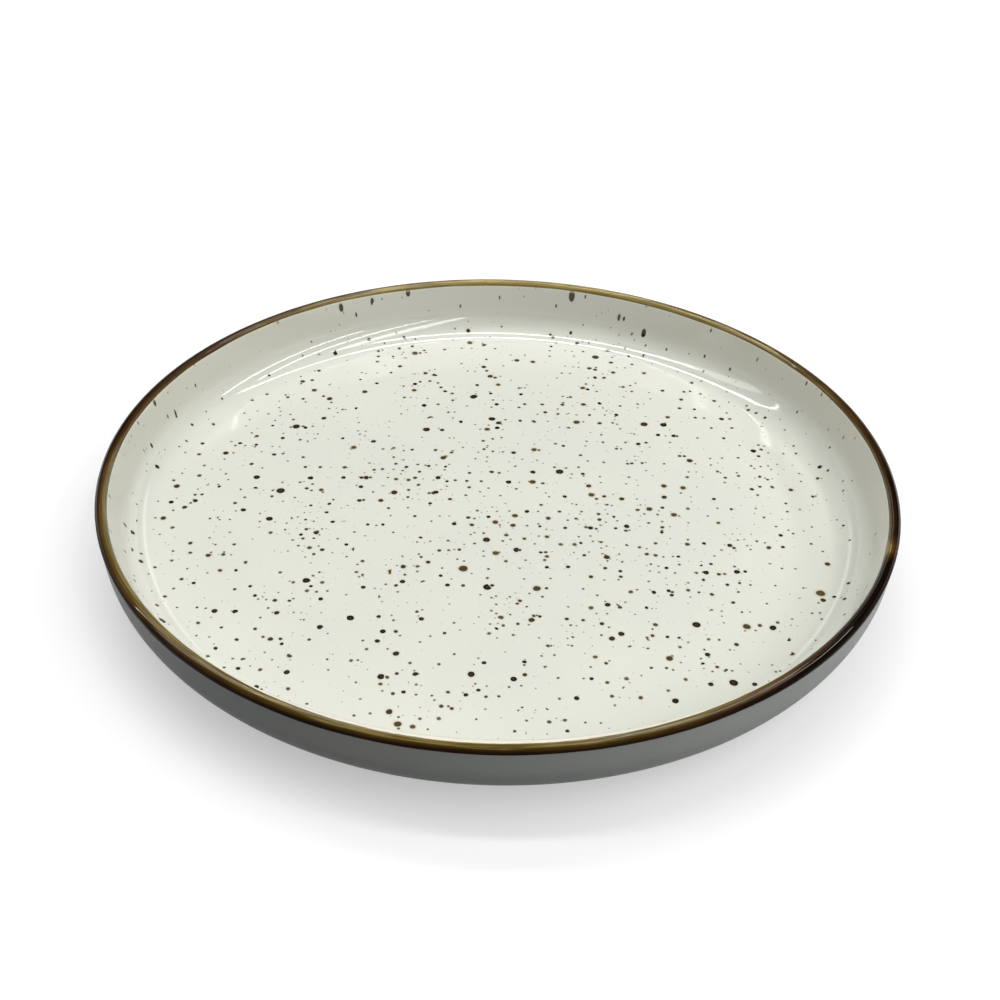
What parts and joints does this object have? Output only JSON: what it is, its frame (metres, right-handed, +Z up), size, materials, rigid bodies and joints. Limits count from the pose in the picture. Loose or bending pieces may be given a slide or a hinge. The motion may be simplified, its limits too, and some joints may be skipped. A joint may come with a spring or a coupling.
{
  "type": "dessert plate",
  "caption": "Round stoneware dessert plate with a flat speckled floor, a low steep wall, a brown band over the round lip and a bare foot ring.",
  "frame": {"origin": "centre of the foot ring, on the surface that the plate rests on", "axes": "+Z up along the axis of the plate, out of the well; X and Y in the plane of the rim"},
  "size_m": [0.2, 0.2, 0.022],
  "materials": {
    "clay": "bare fired stoneware, matt",
    "speckled_cream_glaze": "glossy cream glaze with brown and black specks",
    "outside_glaze": "plain satin pale grey glaze",
    "brown_rim_glaze": "glossy brown reactive glaze, broken to gold"
  },
  "bodies": {
    "root": {"clay_body": "clay", "inner_glaze": "speckled_cream_glaze", "outer_glaze": "outside_glaze", "base_glaze": "outside_glaze", "rim_band": "brown_rim_glaze"}
  },
  "joints": []
}
